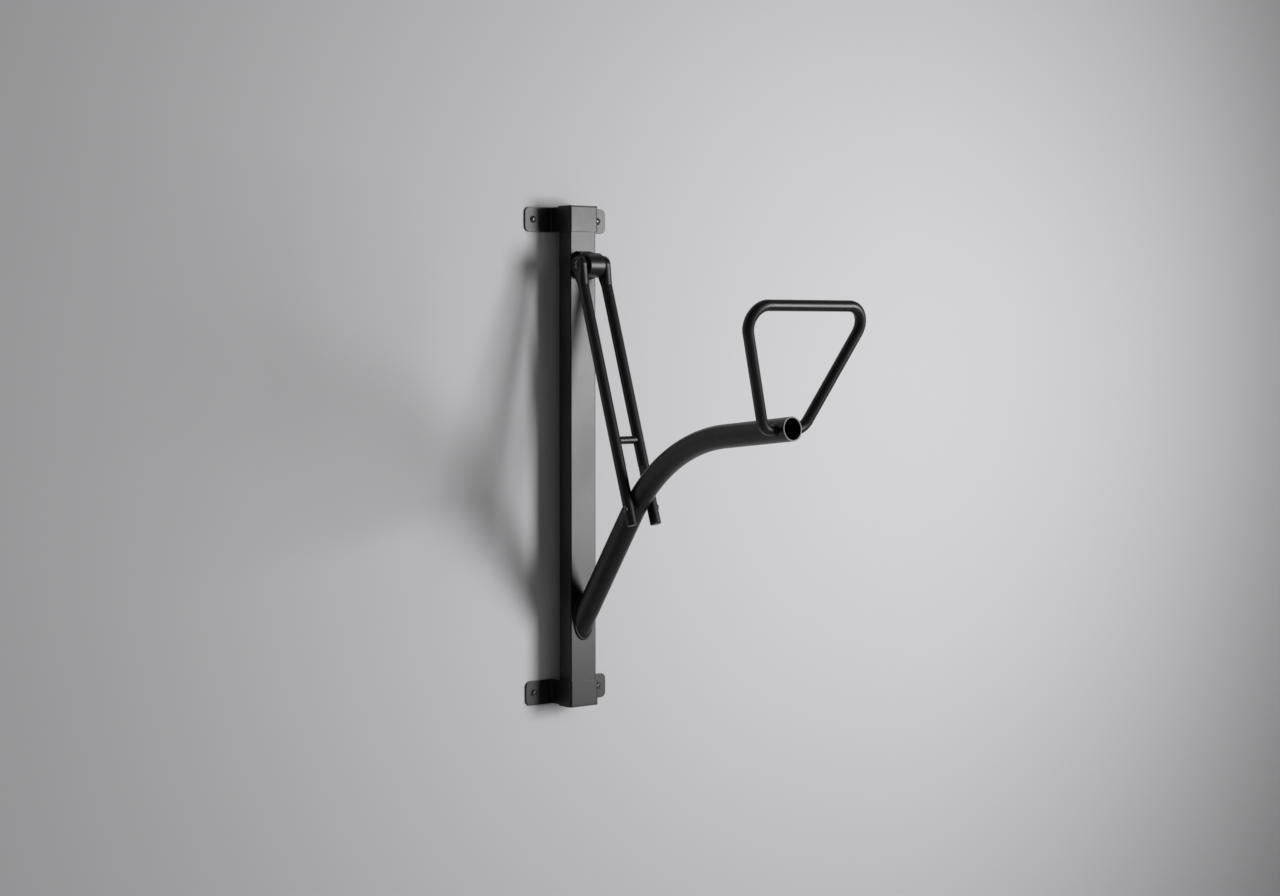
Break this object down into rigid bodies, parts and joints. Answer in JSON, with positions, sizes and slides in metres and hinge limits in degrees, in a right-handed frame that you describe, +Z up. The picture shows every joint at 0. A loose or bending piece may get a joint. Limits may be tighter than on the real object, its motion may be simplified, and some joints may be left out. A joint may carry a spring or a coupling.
{
  "type": "bicycle wall rack",
  "caption": "Wall-mounted bicycle rack: a boxed column on wall brackets carries a bent arm tube with a tilted trapezoid cradle loop, held up by a hinged brace.",
  "frame": {"origin": "on the wall plane, at the centre of the four wall screws, which is also half way up the column", "axes": "+X along the wall to the right as seen facing it, -Y straight out from the wall, +Z up"},
  "size_m": [0.2262, 0.6145, 0.776],
  "materials": {
    "powder_coat": "satin",
    "cap_plastic": "matte",
    "screw_steel": "satin",
    "bush_plastic": "matte"
  },
  "bodies": {
    "frame": {"column": "powder_coat", "top_end_cap": "cap_plastic", "bottom_end_cap": "cap_plastic", "top_bracket": "powder_coat", "bottom_bracket": "powder_coat", "wall_screw_top_left": "screw_steel", "wall_screw_top_right": "screw_steel", "wall_screw_bottom_left": "screw_steel", "wall_screw_bottom_right": "screw_steel", "pivot_saddle": "powder_coat", "pivot_barrel": "powder_coat", "left_pivot_bush": "bush_plastic", "right_pivot_bush": "bush_plastic", "arm_lower_tube": "powder_coat", "arm_bent_tube": "powder_coat", "arm_upper_tube": "powder_coat", "arm_foot_weld": "powder_coat", "anchor_sleeve": "screw_steel", "cradle_loop": "powder_coat", "left_loop_weld": "powder_coat", "right_loop_weld": "powder_coat"},
    "brace": {"left_stay": "powder_coat", "right_stay": "powder_coat", "stay_crossbar": "powder_coat", "pivot_pin": "screw_steel", "pivot_pin_screw": "screw_steel", "left_brace_screw": "screw_steel", "right_brace_screw": "screw_steel"}
  },
  "joints": [
    {"name": "brace_pivot", "type": "hinge", "parent": "frame", "child": "brace", "pos_m": [0, -0.0666, 0.296], "axis": [-1, 0, 0], "range_deg": [0, 164]}
  ]
}
